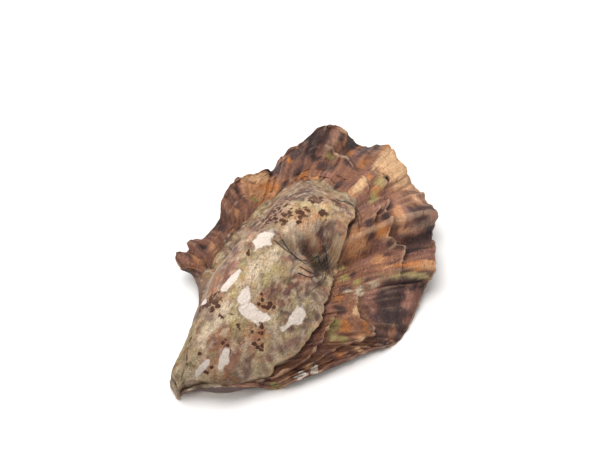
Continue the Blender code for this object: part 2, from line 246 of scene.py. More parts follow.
COLUMNS = 430
BY_DISTANCE = 0.75  # share of the columns' spacing that goes by distance, the rest by turn
MEASURED_SPOKES = 1201  # at which the distance round the edge is measured
BODY_RINGS, LAYER_RINGS, EDGE_RINGS, UNDER_RINGS = 80, 17, 3, 32
BODY_AGE, FLANGE_AGE = 48.0, 30.0  # mean length of the spokes on the body and beyond it
CREASE_ANGLE = math.radians(60)
NOT_WORN = -2.0  # the worn value of the underside, far below any patch outline
GRAIN_RADIUS = 52.0  # of the circle that the spokes are laid round for the patterns that follow growth

# The colours, red, green and blue from 0 to 255
PALETTE = {
    "ash": (134, 112, 99), "lichen": (172, 156, 122), "bone": (216, 198, 174), "cream": (232, 194, 156),
    "peach": (204, 154, 120), "orange": (190, 130, 88), "rust_tan": (154, 112, 90), "brown": (132, 94, 82),
    "plum": (78, 54, 51), "night": (54, 36, 35), "rose": (166, 124, 110), "slate": (94, 74, 68),
    "leaf": (164, 150, 102), "pale_green": (182, 166, 120), "chalk": (254, 240, 228), "rust": (76, 34, 15),
    "nacre": (226, 221, 212), "scar": (150, 130, 136), "hinge": (120, 92, 68), "weed": (26, 22, 20),
}

# Patches on the body in the order of painting: colour, x, y, half length, half width, direction in degrees
BODY_PATCHES = [
    # left flank, whose dark slate and plum patches are partly the shell's own colour and partly painted
    # shade, then the grey and green middle
    ("ash", 30, 8, 16, 6, 4), ("slate", 62, 8, 22, 8, 0), ("brown", 60, 3, 16, 4, 10),
    ("plum", 69, 7, 7, 5, 25), ("slate", 40, 9, 12, 3, 30), ("slate", 57, 3, 17, 4, 8),
    ("plum", 66, 3, 8, 2, 30), ("ash", 46, 4, 8, 3, 20), ("brown", 30, 5, 8, 3, 10),
    ("ash", 52, 1, 7, 2, 10), ("rust_tan", 25, 5, 4, 3, 60), ("brown", 46, 5, 6, 2, 35),
    ("lichen", 36, -4, 10, 5, -20), ("lichen", 12, 0, 10, 5, 0), ("pale_green", 38, -6, 5, 3, -30),
    ("ash", 44, -9, 6, 3, -10), ("pale_green", 27, -2, 5, 2, 10), ("bone", 18, -3, 5, 3, 20),
    ("pale_green", 20, -6, 3, 2, 0), ("bone", 36, -4, 8, 2, -12), ("bone", 13, -1, 5, 2, 5),
    ("rose", 33, 3, 3, 1, 10),
    # second bulge; the plum and slate patches on its near face are partly the shell's own colour and partly
    # painted shade
    ("lichen", 60, -6, 10, 4, -15), ("pale_green", 62, -7, 7, 3, -35), ("pale_green", 72, -8, 6, 2, 40),
    ("peach", 55, -6, 5, 2, -10), ("cream", 66, -6, 3, 1, 30), ("rust_tan", 70, -3, 5, 1, 40),
    ("pale_green", 74, -3, 4, 1, 45), ("bone", 50, -7, 4, 2, 30), ("plum", 58, -13, 8, 3, -25),
    ("slate", 53, -11, 6, 2, -35), ("plum", 57, -11, 5, 2, -20), ("rose", 63, -14, 3, 1, 0),
    ("brown", 67, -12, 4, 2, 40), ("peach", 68, -14, 5, 2, 40), ("lichen", 74, -8, 5, 3, 60),
    ("brown", 71, -11, 5, 1.5, 45), ("rust_tan", 76, -4, 5, 2, 60), ("slate", 48, -15, 9, 3, 15),
    # The night patch below lies on the notch's floor as painted shade
    ("night", 52, -14.5, 4, 1.2, -20), ("peach", 63, -16.4, 4, .6, 10),
    # lower slope
    ("brown", 33, -12, 7, 3, -20), ("plum", 35, -13, 4, 2, -20), ("rust_tan", 27, -10, 4, 3, -16),
    ("brown", 40, -14, 5, 2, -10), ("slate", 28, -17, 7, 2, -28), ("ash", 33, -22, 9, 2, 5),
    ("lichen", 24, -15, 4, 2, -40), ("slate", 38, -18, 5, 1.5, 0), ("plum", 36, -12, 5, 1.6, -15),
    ("slate", 32, -21, 7, 1.4, -20), ("brown", 30, -12, 4, 2.4, -20), ("ash", 24, -19, 8, 2, -28),
    ("lichen", 29, -20, 4, 1, -20),
    # near the beak
    ("rust_tan", 14, -5, 4, 2, -20), ("rose", 10, -8, 3, 2, -8), ("rose", 14, -9, 3, 2, -40),
    ("rust_tan", 19, -13, 4, 2, -30), ("ash", 12, -14, 7, 2, -38), ("brown", 17, -16, 5, 1, -38),
    ("lichen", 5, 1, 4, 3, 0), ("bone", 2, 0, 3, 2, 8), ("rust_tan", 8, -5, 2, 1, -40),
    ("slate", 14, 1, 2, 1, 20), ("ash", 17, 1, 3, 2, 50),
]
# Streaks on the layers: colour, spoke, share of the way from the body's lip to the edge, half width in
# spokes, half length as such a share
FLANGE_STREAKS = [
    # beak and near arch
    ("ash", .5, .5, 4, .8), ("bone", 2.5, .8, 1, .4), ("slate", 2, .35, .5, .2), ("bone", 59.3, .5, 1, .8),
    ("brown", 6, .5, 1, .5), ("night", 6.6, .35, .2, .3), ("leaf", 6.9, .85, .5, .2),
    ("rust_tan", 8, .5, .8, .3), ("rust_tan", 7.8, .8, .3, .2), ("cream", 8.8, .85, .16, .35),
    ("rust_tan", 9.8, .5, .5, .5), ("brown", 10.6, .3, .6, .4), ("brown", 10, .9, .5, .2),
    ("orange", 10.2, .75, .3, .15), ("plum", 8.6, .6, .3, .12),
    # flap and green hollow
    ("cream", 11, .86, .22, .15), ("peach", 12.1, .62, .4, .12), ("cream", 11.8, .7, .25, .1),
    ("brown", 11.4, .96, .5, .06), ("orange", 13, .62, .2, .2), ("night", 12.2, .94, .3, .06),
    ("leaf", 12, .42, .35, .1), ("pale_green", 12.4, .27, .5, .06), ("orange", 13.4, .3, .3, .1),
    ("cream", 14.6, .34, .3, .035), ("leaf", 13.5, .17, .5, .06), ("rust_tan", 14.4, .26, .3, .06),
    ("brown", 11.2, .12, 1, .1),
    # dark near corner
    ("plum", 15.6, .78, 2.4, .36), ("night", 14.6, .7, .7, .2), ("plum", 16.3, .7, .6, .2),
    ("brown", 15.3, .93, .3, .1), ("plum", 14.9, .52, .5, .12), ("night", 16.7, .82, .4, .12),
    ("rose", 15.3, .47, .3, .08), ("rose", 15.2, .86, .3, .08), ("rust_tan", 13, .9, .25, .12),
    ("brown", 16, .95, .5, .05),
    # mottled ground between the notch and the near corner
    ("rose", 17.4, .42, .8, .08), ("bone", 17.8, .42, .4, .05), ("bone", 17.2, .3, .7, .05),
    ("leaf", 19, .26, .5, .04), ("plum", 18.8, .35, .4, .03), ("plum", 18.3, .15, .6, .06),
    ("orange", 16.9, .1, .5, .05), ("rose", 15.6, .05, .5, .04), ("plum", 15.2, .17, .4, .06),
    ("leaf", 20.2, .12, .4, .05), ("pale_green", 21.5, .07, .4, .04), ("peach", 20.5, .43, .5, .08),
    ("bone", 17.6, .18, .3, .04), ("rust_tan", 17.6, .07, .8, .03), ("plum", 20.2, .2, .3, .04),
    ("rose", 21, .3, .4, .06), ("brown", 21.4, .45, .3, .1), ("peach", 22.4, .15, .5, .12),
    # pointed wedge
    ("orange", 18.95, .82, .45, .26), ("peach", 18.8, .94, .35, .1), ("pale_green", 18, .76, .3, .22),
    ("leaf", 18.1, .62, .35, .06), ("night", 17.5, .8, .1, .26), ("brown", 19.6, .8, .2, .2),
    ("rust_tan", 18.9, .55, .5, .08), ("peach", 19.6, .5, .3, .08),
    # dome beyond the step
    ("plum", 20.8, .86, .8, .2), ("night", 20.4, .78, .35, .16), ("night", 21.2, .93, .4, .08),
    ("rose", 21.6, .78, .3, .1), ("night", 21.1, .58, .15, .08), ("rose", 22.8, .92, .5, .12),
    ("plum", 23.2, .76, .4, .12), ("plum", 22.2, .84, .3, .1), ("night", 24.6, .86, .75, .16),
    ("plum", 24.4, .76, .6, .1), ("peach", 22.2, .67, .14, .1), ("rose", 24.3, .64, 1, .07),
    ("peach", 23.6, .6, .7, .05), ("orange", 22.7, .43, .3, .1), ("brown", 22.2, .4, .2, .12),
    ("peach", 22.1, .46, .2, .05), ("night", 23.8, .45, .25, .06), ("night", 24.9, .43, .35, .04),
    ("brown", 24.4, .33, .3, .06), ("rust_tan", 24, .3, .5, .08), ("plum", 23.8, .25, .35, .06),
    ("peach", 23.2, .1, .6, .1), ("plum", 22.8, .3, .3, .06), ("rose", 25.3, .35, .3, .1),
    # green and cream ridge
    ("rust_tan", 25.9, .75, .5, .24), ("orange", 26.6, .35, .5, .1), ("pale_green", 27.2, .51, .6, .08),
    ("leaf", 26.3, .3, .4, .1), ("orange", 28.3, .43, .4, .06), ("cream", 28.1, .21, .5, .17),
    ("peach", 28.2, .04, .5, .06), ("brown", 27.1, .15, .3, .15), ("brown", 26.2, .15, .4, .1),
    ("rose", 29, .46, .4, .05),
    # pale far end
    ("peach", 27.7, .82, 1.5, .22), ("cream", 27.2, .84, 1.1, .2), ("cream", 28.5, .82, .7, .22),
    # The night streak at spoke 27.2 on this line is painted shade in the small pit that a fold dents there
    ("orange", 29, .95, .15, .06), ("night", 27.2, .62, .28, .045), ("peach", 29.4, .8, .4, .16),
    ("rust_tan", 29.5, .6, .3, .1), ("brown", 29.2, .2, .3, .1), ("orange", 29.9, .7, .15, .15),
    # stripes of the raised back edge
    ("plum", 32.5, .85, 2.5, .25), ("night", 30.3, .9, .16, .12), ("rose", 30.9, .78, .3, .12),
    ("orange", 31.2, .9, .12, .16), ("night", 31.7, .88, .22, .16), ("orange", 32.2, .88, .1, .16),
    ("night", 32.7, .86, .16, .14), ("rust_tan", 32.4, .7, .3, .1), ("cream", 33.2, .96, .25, .04),
    ("rose", 33.4, .82, .3, .2), ("orange", 31.2, .7, .3, .08), ("night", 35.1, .74, .5, .3),
    ("night", 34.6, .52, .3, .08), ("plum", 36.2, .75, .4, .25), ("orange", 36.7, .76, .12, .14),
    ("brown", 34.1, .6, .3, .1),
    # behind the body; the thin plum, slate and night lines at about 0.47 of the way out are painted shade
    # along the trough there
    ("plum", 30.6, .47, .6, .05), ("bone", 31.6, .55, .5, .03), ("slate", 32.2, .47, .4, .03),
    ("leaf", 32.7, .49, .4, .05), ("night", 34, .46, .4, .035), ("slate", 32, .26, .6, .14),
    ("rose", 31.6, .14, .5, .1), ("plum", 33.2, .33, .4, .08), ("rust_tan", 34, .27, .4, .08),
    ("orange", 34.6, .16, .4, .08), ("plum", 35.6, .33, .5, .1), ("slate", 36.7, .2, .4, .1),
    ("ash", 37.4, .1, .4, .1), ("plum", 30, .12, .4, .1), ("peach", 32.8, .08, .5, .08),
    ("brown", 36, .5, .5, .1),
    # orange side, then the two small lobes
    ("peach", 39.8, .5, 1.3, .5), ("orange", 38.4, .32, .9, .24), ("peach", 38, .2, .4, .1),
    ("orange", 39.6, .55, .6, .28), ("peach", 39.4, .72, .4, .2), ("leaf", 40.1, .27, .16, .1),
    ("leaf", 40.8, .46, .18, .12), ("cream", 40.3, .86, .7, .2), ("peach", 41.3, .86, .25, .16),
    ("plum", 38.2, .8, .5, .14), ("night", 42, .84, .25, .1), ("orange", 39.6, .1, .3, .1),
    ("brown", 41, .2, .4, .12), ("peach", 42.4, .42, .3, .12), ("brown", 43.5, .5, .35, .3),
    ("plum", 44.5, .78, .6, .26), ("ash", 44.5, .13, .8, .14), ("bone", 44.1, .2, .3, .06),
    ("peach", 46.4, .46, .35, .16), ("night", 46.8, .67, .28, .12), ("brown", 46, .9, .6, .1),
    ("brown", 47.5, .76, .4, .2), ("rust_tan", 46.5, .22, .6, .1), ("ash", 48, .1, .5, .1),
    ("night", 49.2, .17, .16, .12), ("night", 50.3, .06, .16, .06), ("night", 48.1, .44, .1, .12),
    ("peach", 49.1, .5, .4, .2), ("orange", 50.1, .62, .3, .12), ("rose", 49.4, .82, .6, .14),
    ("brown", 51.3, .5, .4, .3), ("rose", 51, .94, .4, .06), ("ash", 54.5, .5, 2.4, .8),
]
# How far the streaks lean round the shell on their way to the edge, in spokes: spoke, lean
STREAK_LEAN = [
    (0, 0), (6, -.5), (8, -1), (12, -4.5), (14, -4.5), (17.6, -2), (19, -2), (21, -3), (23, -2.5), (26.5, 0),
    (29, 0), (31, .5), (34, 1.5), (36, 2), (39, 3), (41, 3), (43.5, .5), (46, 0), (48, -1.5), (50, -1.8),
    (53, 0),
]
# Where the outer layer has worn off to white chalk: x, y, half length, half width, direction in degrees
WORN_BODY = [
    (43.6, -.4, 5.4, 2.2, -8), (28.6, 1, 4.2, 1.8, -22), (26.4, -5.6, 3.6, 2.4, 24),
    (23.6, -8.2, 3.6, 2.5, 70), (24.4, -11.2, 3, 1.6, -60), (31, -18.7, 5.4, 1.7, -12),
    (23.6, 6.6, 2.6, 1.1, 52), (5.6, -4, 3, 1, -22), (10.6, -8.4, 3.2, 1.3, -8),
]
WORN_FLANGE = [(26.0, -27.2, 1.6, 1.2, 20), (23.1, -25.9, 2.5, 0.4, -32)]
# Rust: x, y, half length, half width, direction in degrees, how full of rust spots it is
RUST = [
    (62, -8.9, 1.9, 1.5, -5, 1.3), (60.5, -10.8, 1.6, .6, -148, 1.2), (66.4, -3.5, 4, 2, 20, 1.1),
    (72, -6, 4, 2.2, 64, 1.05), (57, -5, 4, 2, 10, 1), (55.9, -7, 1.5, .8, -19, .7),
    (53, -5.8, 1.4, .6, -24, .7), (53.7, -.7, 4.5, 2.4, 0, .95), (50, -2.1, 1.9, 1.6, -5, .75),
    (60, 4, 6, 3, 10, .9), (53, 4, 4, 3, 0, .95), (48.5, 3.6, 3, 2.4, 0, .85), (44.2, 2.6, 1.8, 1.3, -6, .6),
    (23.2, 4.2, 3.6, 2.4, -60, 1.1), (21.6, .8, 2.6, 1.6, 0, 1.1), (21.3, 4.1, 1.7, .7, -89, 1.1),
    (18.8, -2.7, 1.1, .6, -118, 1.1), (20.7, -3.8, 1.1, .6, -99, 1), (19.4, -7.6, 1.3, .9, -122, .8),
    (27, -9.5, 3.2, 1.2, 18, .9), (21, -13, 3.2, 1.5, 13, .9), (19.5, -14, 2, 1.5, -120, .85),
    (6.7, -6.2, 2.1, 1.3, -84, .8), (11.2, 2.3, 1, .6, 19, .8), (8.2, -2.1, .6, .5, -65, 1),
    (5.8, .3, 1.7, .3, -146, .8), (37.7, 1, 1.5, .6, 23, 1.2), (28, -12.5, 2.4, 1.6, -8, .95),
    (13.5, -7.5, 2.3, 1.2, 60, .85), (12.7, -8.9, 1.2, .8, -31, .7),
]


def smooth(t):
    t = np.clip(t, 0, 1)
    return t * t * (3 - 2 * t)


def round_the_spokes(table, column, spoke):
    """The value of a column of the table at each spoke, eased between the spokes that it names."""
    rows = np.array(table, float)
    at = np.concatenate([[rows[-1, 0] - SPOKES], rows[:, 0], [rows[0, 0] + SPOKES]])
    value = np.concatenate([rows[-1:, column], rows[:, column], rows[:1, column]])
    spoke = np.mod(spoke, SPOKES)
    i = np.clip(np.searchsorted(at, spoke, side="right") - 1, 0, len(at) - 2)
    t = (spoke - at[i]) / (at[i + 1] - at[i])
    return value[i] + (value[i + 1] - value[i]) * (t + smooth(t)) / 2


def through(table, column, x):
    """The value of a column of the table at x, on a smooth curve through its rows."""
    rows = np.array(table, float)
    at, value = rows[:, 0], rows[:, column]
    slope = np.gradient(value, at)
    x = np.clip(x, at[0], at[-1])
    i = np.clip(np.searchsorted(at, x, side="right") - 1, 0, len(at) - 2)
    gap = at[i + 1] - at[i]
    t = (x - at[i]) / gap
    rise = smooth(t)
    return (
        value[i] * (1 - rise) + value[i + 1] * rise
        + gap * (slope[i] * t * (1 - t) ** 2 - slope[i + 1] * t * t * (1 - t))
    )


def mottle(x, y, size, seed):
    """Smooth noise from -1 to 1 in blotches about size across."""
    grid = np.random.default_rng(seed).uniform(-1, 1, (NOISE_PERIOD, NOISE_PERIOD))
    x, y = x / size, y / size
    i, j = np.floor(x).astype(int), np.floor(y).astype(int)
    u, v = smooth(x - i), smooth(y - j)

    def corner(a, b):
        return grid[(i + a) % NOISE_PERIOD, (j + b) % NOISE_PERIOD]

    near = corner(0, 0) * (1 - u) + corner(1, 0) * u
    far = corner(0, 1) * (1 - u) + corner(1, 1) * u
    return near * (1 - v) + far * v


def ragged(spoke, teeth, seed):
    """Smooth noise from -1 to 1 along the spokes, with this many teeth all the way round."""
    heights = np.random.default_rng(seed).uniform(-1, 1, teeth)
    at = np.mod(spoke, SPOKES) / SPOKES * teeth
    i = np.floor(at).astype(int)
    return heights[i % teeth] + (heights[(i + 1) % teeth] - heights[i % teeth]) * smooth(at - i)


def teeth(spoke, table, shift=0):
    """The sum of several ragged outlines."""
    return sum(reach * ragged(spoke, count, seed + shift) for reach, count, seed in table)


def edge_point(spoke):
    """x, y and z of the edge's underside, on a smooth curve through EDGE_LINE."""
    line = np.array(EDGE_LINE, float)
    spoke = np.mod(spoke, SPOKES)
    i = np.floor(spoke).astype(int)
    t = (spoke - i)[:, None]
    a, b, c, d = (line[(i + k) % SPOKES] for k in (-1, 0, 1, 2))
    return b + t / 2 * (c - a + t * (2 * a - 5 * b + 4 * c - d + t * (3 * (b - c) + d - a)))


def mean_edge_height(spoke):
    """The edge's height with its lobes averaged out."""
    heights = np.array(EDGE_LINE)[:, 2]
    mean = sum(w * np.roll(heights, k) for k, w in LOBE_WEIGHTS.items())
    return np.interp(np.mod(spoke, SPOKES), np.arange(SPOKES + 1), np.append(mean, mean[0]))


def place(reach, spoke):
    """x and y on the spokes, at a share of the way from the apex to the edge."""
    edge = edge_point(spoke)
    aims = SPOKE_AIMS + [(SPOKES, *SPOKE_AIMS[0][1:])]
    at = []
    for axis in (0, 1):
        aim = through(aims, axis + 1, np.mod(spoke, SPOKES))
        at.append(APEX[axis] + reach * (aim - APEX[axis]) + reach ** SPOKE_TURN * (edge[:, axis] - aim))
    return at


def notch(x, y):
    """How deep the notch is at x and y."""
    cx, cy, turn, depth = NOTCH
    turn = np.radians(turn)
    along = (x - cx) * np.cos(turn) + (y - cy) * np.sin(turn)
    across = (y - cy) * np.cos(turn) - (x - cx) * np.sin(turn) + NOTCH_SWAY * np.sin(along * NOTCH_WAVES)
    along = along / np.where(along < 0, NOTCH_IN, NOTCH_OUT)
    across = np.sqrt((across / np.where(across > 0, NOTCH_STEEP, NOTCH_GENTLE)) ** 2 + NOTCH_ROUNDING ** 2)
    return depth * np.exp(-along * along - across ** NOTCH_FLOOR)


def body(x, y):
    """Height of the body's humped top."""
    offset = y - through(CREST, 1, x)
    height = through(CREST, 2, x)
    far = np.abs(offset / through(CREST, 3, x)) ** FAR_SIDE_FULLNESS
    near = np.abs(offset / through(CREST, 4, x)) ** NEAR_SIDE_FULLNESS
    return height - np.maximum(height, 4) * np.where(offset > 0, far, near) - notch(x, y)


def folded(spoke, out):
    """How far the folds lift the flange. They fade to nothing at its edge and under the body's lip."""
    lift = 0
    for middle, share, before, after, length, height in FOLDS:
        across = np.mod(spoke - middle + SPOKES / 2, SPOKES) - SPOKES / 2
        across = across / np.where(across < 0, before, after)
        lift = lift + height * np.exp(-across ** 2 - ((out - share) / length) ** 2)
    return lift * (1 - out ** FOLD_FADE) * smooth(out / 0.1)


def flange(reach, spoke):
    """Height of the layers' top beyond the body, ruffled towards the edge, and falling away inside it."""
    lip, under_lip = (round_the_spokes(BODY_LIP, k, spoke) for k in (1, 2))
    edge = edge_point(spoke)[:, 2] + EDGE_THICKNESS
    mean = mean_edge_height(spoke) + EDGE_THICKNESS
    out = np.clip((reach - lip) / (1 - lip), 0, 1)
    inside = np.clip(1 - reach / lip, 0, 1)
    slope = (mean - under_lip) * out ** SLOPE_CURVE + (edge - mean) * out ** RUFFLE_CURVE
    return under_lip + slope - FALL_INSIDE * inside ** 2 + folded(spoke, out)


def higher_of(a, b, blend=VALLEY_BLEND):
    """The higher of two surfaces, with the valley between them filled by a soft fillet."""
    top = np.maximum(a, b)
    return top + blend * np.log(np.exp((a - top) / blend) + np.exp((b - top) / blend))


class Rings:
    """The rings of the valve, from the apex outwards and back, with what is known about their points."""

    def __init__(self, spoke):
        self.spoke = spoke
        self.lip = round_the_spokes(BODY_LIP, 1, spoke) + teeth(spoke, BODY_TEETH)
        nick = sum(np.maximum(ragged(spoke, count, seed), 0) for count, seed in NICKS)
        count, seed, strength = SHALLOW_NICKS
        self.nick = EDGE_NICKS * (nick + strength * ragged(spoke, count, seed) ** 2)
        self.rows = []

    def add(self, reach, z, side, rim=0.0, gap=0.0):
        """Adds a ring. side is 0 on the body, 1 on the layers beyond it and 2 below. gap is how much painted
        shadow from a lip above darkens the ring.
        """
        x, y = place(reach - self.nick * reach ** NICK_FADE, self.spoke)
        out = (reach - self.lip) / (1 - self.lip)
        age = np.where(out < 0, BODY_AGE * reach / self.lip, BODY_AGE + FLANGE_AGE * out)
        row = dict(x=x, y=y, z=z, reach=reach, age=age, side=side, rim=rim, gap=gap)
        self.rows.append({k: np.broadcast_to(v, self.spoke.shape).astype(float) for k, v in row.items()})

    def on_body(self, reach):
        return higher_of(body(*place(reach, self.spoke)), flange(reach, self.spoke))

    def nose(self, reach, step, side):
        """The nose, underside and root of a lip whose last ring stands step above the layer below."""
        top = self.rows[-1]["z"]
        hook = np.clip(step / LIP_THICKNESS - .4, 0, 1)
        for share, forward, back in NOSE_RINGS:
            at = reach + NOSE_SPACING * (forward - hook * back)
            z = np.maximum(flange(at, self.spoke), top - share * np.minimum(step, LIP_THICKNESS))
            # gap: painted shadow on the underside of the lip's nose and at its root, stronger for taller
            # lips
            rim, gap = (1 - share) * np.clip(step - .2, 0, 1), share * np.clip(step, 0, 1)
            self.add(at, z, side, rim, gap)
        root = reach + 3 * NOSE_SPACING - hook * LIP_UNDERCUT
        self.add(root, flange(root, self.spoke), side, gap=np.clip(step, 0, 1))

    def column_data(self, key):
        return np.array([row[key] for row in self.rows])


def spoke_positions():
    """Columns spaced by a mix of their distance round the edge and their turn about the apex."""
    fine = np.linspace(0, SPOKES, MEASURED_SPOKES)
    steps = np.linalg.norm(np.diff(edge_point(fine)[:, :2], axis=0), axis=1)
    weight = BY_DISTANCE * steps / steps.sum() + (1 - BY_DISTANCE) / len(steps)
    travelled = np.concatenate([[0], np.cumsum(weight)])
    return np.interp(np.linspace(0, 1, COLUMNS + 1), travelled / travelled[-1], fine)


def grow_top(rings):
    """The body with its lip, then each layer with its own, out to the edge."""
    spoke, lip = rings.spoke, rings.lip
    apex = np.zeros_like(spoke)
    rings.add(apex, body(*place(apex, spoke)), 0)
    step = np.maximum(rings.on_body(lip) - flange(lip, spoke), 0)
    for t in np.linspace(0, 1, BODY_RINGS + 1)[1:]:
        rim = smooth((t - .97) / .03) * np.clip(step / 2 - .3, 0, 1)
        rings.add(lip * t, rings.on_body(lip * t), 0, rim)
    rings.nose(lip, step, 0)
    start, last_step = lip + NEXT_LAYER, step
    for number, lamella in enumerate((INNER_LAMELLA, MIDDLE_LAMELLA, OUTER_LAMELLA, FRINGE)):
        end = lip + (1 - lip) * (round_the_spokes(lamella, 1, spoke) + teeth(spoke, LAMELLA_TEETH, number))
        end = np.maximum(end, start + 0.01)
        height = round_the_spokes(lamella, 2, spoke) * (1 + teeth(spoke, [LIP_VARIETY], number))
        for t in np.linspace(0, 1, LAYER_RINGS + 1):
            at = start + (end - start) * t
            rim = smooth((t - .9) / .1) * np.clip(height, 0, 1)
            # gap: painted shadow that the last lip lays on the start of this layer
            gap = smooth(1 - 5 * t) * np.clip(last_step, 0, 1)
            rings.add(at, flange(at, spoke) + height * t ** 2, 1, rim, gap)
        rings.nose(end, height, 1)
        start, last_step = end + NEXT_LAYER, height
    for t in np.linspace(0, 1, LAYER_RINGS + 1)[:-1]:
        at = start + (1 - start) * t
        # gap: painted shadow that the last lip lays on the start of the last layer
        gap = smooth(1 - 5 * t) * np.clip(last_step, 0, 1)
        rings.add(at, flange(at, spoke), 1, smooth((t - .85) / .15), gap)


def grow_edge(rings):
    """The broken edge, rounded from the top face to the underside."""
    bottom = edge_point(rings.spoke)[:, 2]
    for t in np.linspace(0, 1, EDGE_RINGS + 1):
        rounding = EDGE_ROUNDING * (2 * t - 1) ** 2
        rings.add(1 - rounding, bottom + EDGE_THICKNESS * (1 - t), 1 if t < 1 else 2, rim=1 - t)


def grow_under(rings):
    """The underside from the edge in: the wall, the hollow and the flat spot that the shell rests on."""
    cx, cy, length, width, height = HOLLOW
    spoke = rings.spoke
    plain_lip = round_the_spokes(BODY_LIP, 1, spoke)
    for reach in np.linspace(1, 0, UNDER_RINGS + 1)[1:]:
        at = np.full_like(spoke, reach)
        x, y = place(at, spoke)
        roof = flange(at, spoke) + ROOF_RISE * np.clip(rings.lip - LIP_UNDERCUT - reach, 0, 1)
        top = np.minimum(rings.on_body(at), roof)
        out = np.clip((reach - plain_lip) / (1 - plain_lip), 0, 1)
        wall = EDGE_THICKNESS + (WALL - EDGE_THICKNESS) * (1 - out)
        hollow = height * (1 - ((x - cx) / length) ** 2 - ((y - cy) / width) ** 2)
        hollow = hollow - NOTCH_BELOW * notch(x, y)
        z = higher_of(hollow, flange(at, spoke) - wall, ROOF_BLEND)
        z = np.maximum(z, edge_point(spoke)[:, 2] * reach ** 2)
        z = np.minimum(z, top - LEAST_WALL)
        from_foot = np.hypot(x - FOOT[0], y - FOOT[1]) - FOOT[2]
        z = z * smooth(from_foot / FOOT[3])
        if reach == 0:
            z = np.full_like(spoke, z.mean())
        rings.add(at, z, 2)


def noises(x, y, table):
    """The sum of several noises."""
    return sum(strength * mottle(x, y, size, seed) for strength, size, seed in table)


def ledges_at(steps):
    """Ledges that rise from -0.5 to 0.5 over each step, then drop."""
    return steps - np.floor(steps) - 0.5


def wear(points, age, side, spoke):
    """Pushes the surface in and out along its normals: lumps, growth ledges and radial riblets."""
    x, y = points[..., 0], points[..., 1]
    lumps = noises(x, y, LUMPS)
    ledges = ledges_at(age / LEDGE_SPACING + noises(x, y, LEDGE_DRIFT))
    ledges = ledges * np.clip(noises(x, y, LEDGE_PATCHES), 0, 1)
    fine_ledges = ledges_at(age / FINE_LEDGE_SPACING + noises(x, y, FINE_LEDGE_DRIFT))
    for_spoke, for_age, seed = RIBLETS
    riblets = mottle(np.broadcast_to(spoke * for_spoke, age.shape), age * for_age, 1, seed)
    push = np.zeros_like(age)
    for own_side, weights in enumerate(PUSH):
        own_push = sum(w * form for w, form in zip(weights, (lumps, ledges, fine_ledges, riblets)))
        push = np.where(side == own_side, own_push, push)
    return points + normals_of(points) * push[..., None]


def normals_of(points):
    across = np.roll(points, -1, axis=1) - np.roll(points, 1, axis=1)
    normal = np.cross(np.gradient(points, axis=0), across)
    return normal / np.maximum(np.linalg.norm(normal, axis=2, keepdims=True), 1e-9)


def cavity(points):
    """How deep each point lies below its surroundings, in millimetres: less than 0 on ridges."""
    ring = points[:, :-1]
    around = sum(
        np.roll(np.roll(ring, i, axis=0), j, axis=1)
        for i in CAVITY_REACH for j in CAVITY_REACH
    ) / len(CAVITY_REACH) ** 2
    depth = np.sum((around - ring) * normals_of(ring), axis=2)
    return np.concatenate([depth, depth[:, :1]], axis=1)


def linear(name):
    """A colour of the palette as the light that it sends back."""
    part = np.array(PALETTE[name]) / 255
    return np.where(part < 0.04, part / 12.92, ((part + 0.055) / 1.055) ** 2.4)


def nearness(x, y, patch, power=2.0):
    """1 in the middle of a patch, 0 on its outline, less beyond. Its ends are round for 2, pointed for 1."""
    cx, cy, length, width, turn = patch
    turn = math.radians(turn)
    along = ((x - cx) * math.cos(turn) + (y - cy) * math.sin(turn)) / length
    across = ((y - cy) * math.cos(turn) - (x - cx) * math.sin(turn)) / width
    return 1 - (np.abs(along) ** power + np.abs(across) ** power) ** (1 / power)


def warped(x, y, amount, seed):
    """x and y wobbled, so that what is painted by them gets uneven outlines."""
    return (
        x + amount * (mottle(x, y, 4, seed) + 0.5 * mottle(x, y, 1.6, seed + 1)),
        y + amount * (mottle(x, y, 4, seed + 2) + 0.5 * mottle(x, y, 1.6, seed + 3)),
    )


def laid_over(colour, name, cover):
    """The colour with a colour of the palette laid over it, where cover is more than 0."""
    cover = cover[..., None]
    return colour * (1 - cover) + linear(name) * cover


def blend_of(first, second, share):
    return laid_over(linear(first), second, share)


def painted(ground, patches, x, y, seed):
    """The ground colour with soft patches painted over it, their outlines broken up."""
    frayed = noises(x, y, [(0.25, 1.3, seed + 5), (0.25, 2.9, seed + 6)])
    x, y = warped(x, y, 1.4, seed)
    colour = ground
    for name, *patch in patches:
        cover = PATCH_COVER * smooth((nearness(x, y, patch) + frayed) / PATCH_SOFTNESS + 0.5)
        colour = laid_over(colour, name, cover)
    return colour


def flow_of(spoke, out):
    """The spoke that a streak at this place has come from, since the streaks lean as they run out."""
    return spoke - round_the_spokes(STREAK_LEAN, 1, spoke) * np.clip(out, 0, 1)


def streaked(spoke, out):
    """The layers' colour: random streaks that fan out with the growth, and the named ones over them."""
    flow = flow_of(spoke, out)
    turn, flow_turn = spoke * NOISE_PERIOD / SPOKES, flow * NOISE_PERIOD / SPOKES
    combs = [mottle(flow_turn * round_it, out * along, 1, seed) for round_it, along, seed in STREAK_NOISES]
    strength = 0.45 + 0.55 * smooth((out - 0.3) / 0.35)
    tone = strength * sum(w * comb for w, comb in zip(STREAK_STRENGTHS, combs))
    tone = tone + 0.3 * (1 - smooth(out / 0.6))
    colour = blend_of("brown", "rust_tan", np.clip(0.5 + tone, 0, 1))
    for name, level in (("peach", tone - 0.4), ("plum", -tone - 0.1), ("night", -tone - 0.9)):
        colour = laid_over(colour, name, STREAK_COVER * smooth(level / 0.5))
    sway = 0.25 * mottle(turn * 2, out * 5, 1, 92)
    frayed = 0.25 * combs[2] + 0.2 * combs[3]
    for name, middle, share, width, length in FLANGE_STREAKS:
        across = np.mod(flow + sway - flow_of(np.array([middle]), share) + SPOKES / 2, SPOKES) - SPOKES / 2
        near = 1 - np.hypot(across / width, (out - share) / length)
        colour = laid_over(colour, name, PATCH_COVER * smooth((near + frayed) / STREAK_SOFTNESS + 0.5))
    return colour


